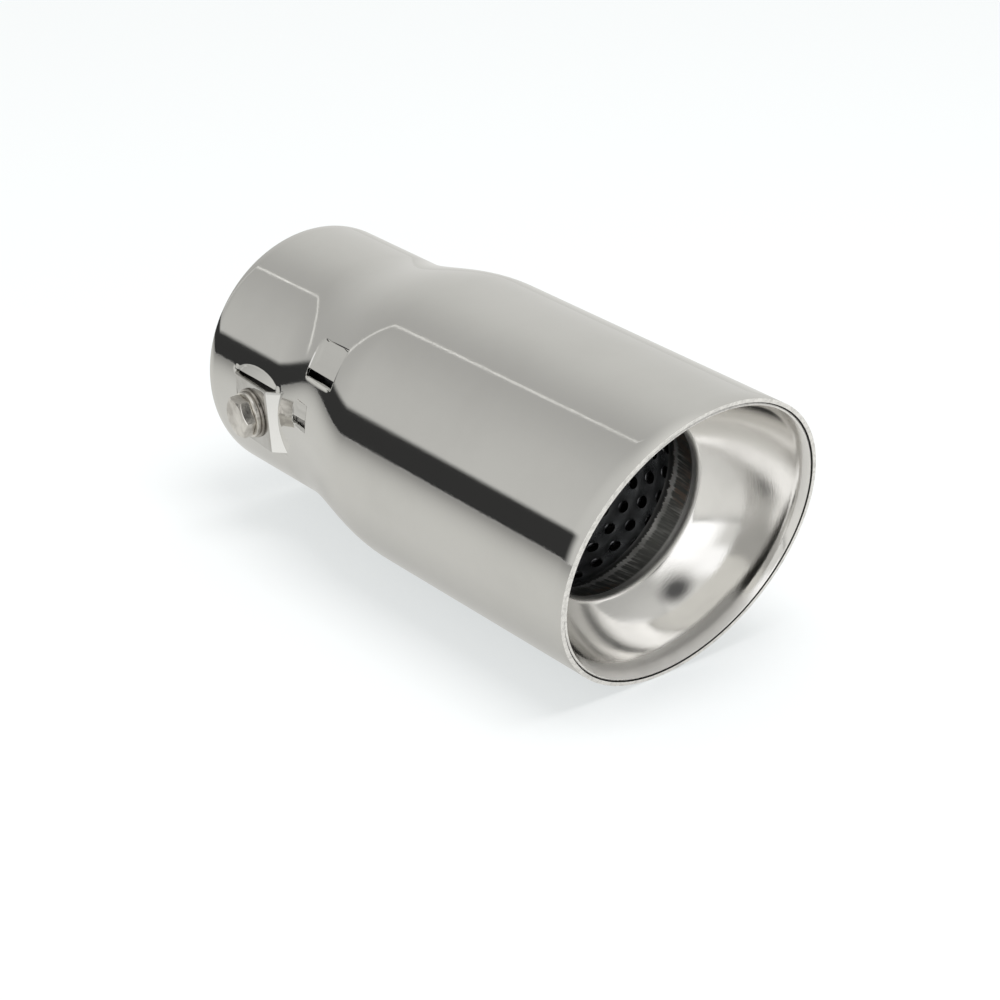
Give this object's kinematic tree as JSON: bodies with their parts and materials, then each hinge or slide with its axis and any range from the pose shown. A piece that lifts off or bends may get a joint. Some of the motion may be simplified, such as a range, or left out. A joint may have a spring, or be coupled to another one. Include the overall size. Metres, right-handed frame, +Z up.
{
  "type": "exhaust tip",
  "caption": "Slant-cut polished steel exhaust tip with a swaged neck, a pressed outlet bowl, a perforated core and a bolted clamp strip.",
  "frame": {"origin": "centre of the inlet mouth, on the axis of the neck", "axes": "+X along the pipe from the inlet to the outlet rim, +Z up as the tip lies on its body, -Y the clamp bolt's side"},
  "size_m": [0.1638, 0.0775, 0.0762],
  "materials": {
    "polished_steel": "mirror-polished stainless sheet",
    "dark_steel": "dark satin perforated sheet",
    "plain_steel": "bright rolled and cut steel"
  },
  "bodies": {
    "root": {"outer_shell": "polished_steel", "outlet_bowl": "polished_steel", "perforated_core": "dark_steel", "clamp_bolt": "plain_steel", "spring_washer": "plain_steel", "flat_washer": "plain_steel", "clamp_nut": "plain_steel"}
  },
  "joints": []
}
